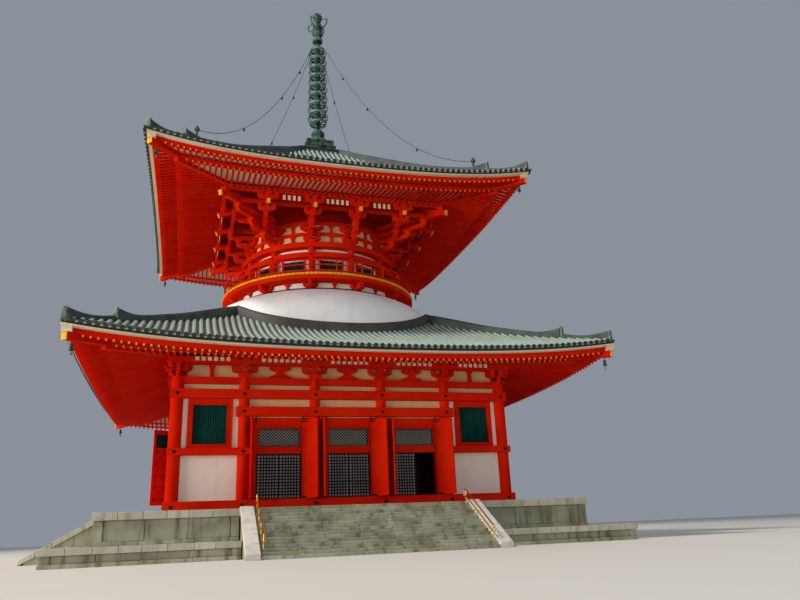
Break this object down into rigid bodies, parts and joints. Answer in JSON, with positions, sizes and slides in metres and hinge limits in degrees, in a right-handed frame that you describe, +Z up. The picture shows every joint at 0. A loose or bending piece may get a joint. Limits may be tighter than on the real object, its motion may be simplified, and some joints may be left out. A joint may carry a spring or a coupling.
{
  "type": "two-storey pagoda with a round upper storey, 1:2 scale model",
  "caption": "Two-storey pagoda on a stepped stone podium: square hall, white mound, round storey with a balcony, hipped roofs, ringed finial, sliding and hinged doors; 1:2 scale model.",
  "frame": {"origin": "centre of the podium at ground level", "axes": "+Z up, -Y towards the front steps, +X to the right seen from the front"},
  "size_m": [19.95, 19.95, 25.55],
  "materials": {
    "vermilion_paint": "vermilion paint on timber, satin",
    "white_plaster": "matt lime plaster",
    "green_window": "dark green painted window boards and bars",
    "dark_lattice": "dark stained lattice with pale edges",
    "copper_tiles": "grey-green weathered roof tiles",
    "dark_ridge_tiles": "dark green-grey ridge tiles",
    "weathered_granite": "rain-stained granite blocks",
    "pale_granite": "clean pale granite",
    "brass_rail": "polished brass tube",
    "patinated_bronze": "green patinated bronze"
  },
  "bodies": {
    "pagoda": {"lower_terrace": "weathered_granite", "upper_terrace": "weathered_granite", "front_stair": "weathered_granite", "front_stair_cheek_left": "pale_granite", "front_stair_cheek_right": "pale_granite", "right_stair": "weathered_granite", "rear_stair": "weathered_granite", "left_stair": "weathered_granite", "handrail_right": "brass_rail", "handrail_left": "brass_rail", "sill_and_floor": "vermilion_paint", "front_frame": "vermilion_paint", "rear_frame": "vermilion_paint", "right_frame": "vermilion_paint", "left_frame": "vermilion_paint", "front_wall_left": "white_plaster", "front_wall_right": "white_plaster", "front_wall_lintel": "white_plaster", "rear_wall": "white_plaster", "right_wall": "white_plaster", "left_wall": "white_plaster", "window_panels": "green_window", "front_door_frames": "vermilion_paint", "right_doors": "vermilion_paint", "rear_doors": "vermilion_paint", "left_doors": "vermilion_paint", "lower_brackets": "vermilion_paint", "lower_eaves": "vermilion_paint", "lower_roof": "copper_tiles", "lower_ridges": "dark_ridge_tiles", "mound": "white_plaster", "balcony_deck": "vermilion_paint", "balcony_railing": "vermilion_paint", "drum_wall": "white_plaster", "drum_windows": "green_window", "drum_frame": "vermilion_paint", "upper_brackets": "vermilion_paint", "upper_eaves": "vermilion_paint", "upper_roof": "copper_tiles", "upper_ridges": "dark_ridge_tiles", "finial_base": "patinated_bronze", "finial_mast": "patinated_bronze", "finial_crown": "patinated_bronze", "chain_front_right": "patinated_bronze", "chain_rear_right": "patinated_bronze", "chain_rear_left": "patinated_bronze", "chain_front_left": "patinated_bronze"},
    "lattice_door_1": {"lattice_door_1": "dark_lattice"},
    "lattice_door_2": {"lattice_door_2": "dark_lattice"},
    "lattice_door_3": {"lattice_door_3": "dark_lattice"},
    "lattice_door_4": {"lattice_door_4": "dark_lattice"},
    "lattice_door_5": {"lattice_door_5": "dark_lattice"},
    "lattice_door_6": {"lattice_door_6": "dark_lattice"},
    "plank_door_1": {"plank_door_1": "vermilion_paint"},
    "plank_door_2": {"plank_door_2": "vermilion_paint"},
    "plank_door_3": {"plank_door_3": "vermilion_paint"},
    "plank_door_4": {"plank_door_4": "vermilion_paint"},
    "plank_door_5": {"plank_door_5": "vermilion_paint"},
    "plank_door_6": {"plank_door_6": "vermilion_paint"},
    "left_plank_door": {"left_plank_door": "vermilion_paint"}
  },
  "joints": [
    {"name": "lattice_door_1_slide", "type": "slide", "parent": "pagoda", "child": "lattice_door_1", "axis": [1, 0, 0], "range_m": [0, 0.708]},
    {"name": "lattice_door_2_slide", "type": "slide", "parent": "pagoda", "child": "lattice_door_2", "axis": [-1, 0, 0], "range_m": [0, 0.708]},
    {"name": "lattice_door_3_slide", "type": "slide", "parent": "pagoda", "child": "lattice_door_3", "axis": [1, 0, 0], "range_m": [0, 0.708]},
    {"name": "lattice_door_4_slide", "type": "slide", "parent": "pagoda", "child": "lattice_door_4", "axis": [-1, 0, 0], "range_m": [0, 0.708]},
    {"name": "lattice_door_5_slide", "type": "slide", "parent": "pagoda", "child": "lattice_door_5", "axis": [1, 0, 0], "range_m": [0, 0.708]},
    {"name": "lattice_door_6_slide", "type": "slide", "parent": "pagoda", "child": "lattice_door_6", "axis": [1, 0, 0], "range_m": [0, 0.708]},
    {"name": "plank_door_1_hinge", "type": "hinge", "parent": "pagoda", "child": "plank_door_1", "pos_m": [-3.0775, -5.62, 1.67], "axis": [0, 0, 1], "range_deg": [0, 106]},
    {"name": "plank_door_2_hinge", "type": "hinge", "parent": "pagoda", "child": "plank_door_2", "pos_m": [-1.5475, -5.62, 1.67], "axis": [0, 0, -1], "range_deg": [0, 120]},
    {"name": "plank_door_3_hinge", "type": "hinge", "parent": "pagoda", "child": "plank_door_3", "pos_m": [-0.765, -5.62, 1.67], "axis": [0, 0, 1], "range_deg": [0, 106]},
    {"name": "plank_door_4_hinge", "type": "hinge", "parent": "pagoda", "child": "plank_door_4", "pos_m": [0.765, -5.62, 1.67], "axis": [0, 0, -1], "range_deg": [0, 120]},
    {"name": "plank_door_5_hinge", "type": "hinge", "parent": "pagoda", "child": "plank_door_5", "pos_m": [1.5475, -5.62, 1.67], "axis": [0, 0, 1], "range_deg": [0, 106]},
    {"name": "plank_door_6_hinge", "type": "hinge", "parent": "pagoda", "child": "plank_door_6", "pos_m": [3.0775, -5.62, 1.67], "axis": [0, 0, -1], "range_deg": [0, 120]},
    {"name": "left_plank_door_hinge", "type": "hinge", "parent": "pagoda", "child": "left_plank_door", "pos_m": [-5.62, -3.0775, 1.67], "axis": [0, 0, -1], "range_deg": [0, 120]}
  ]
}
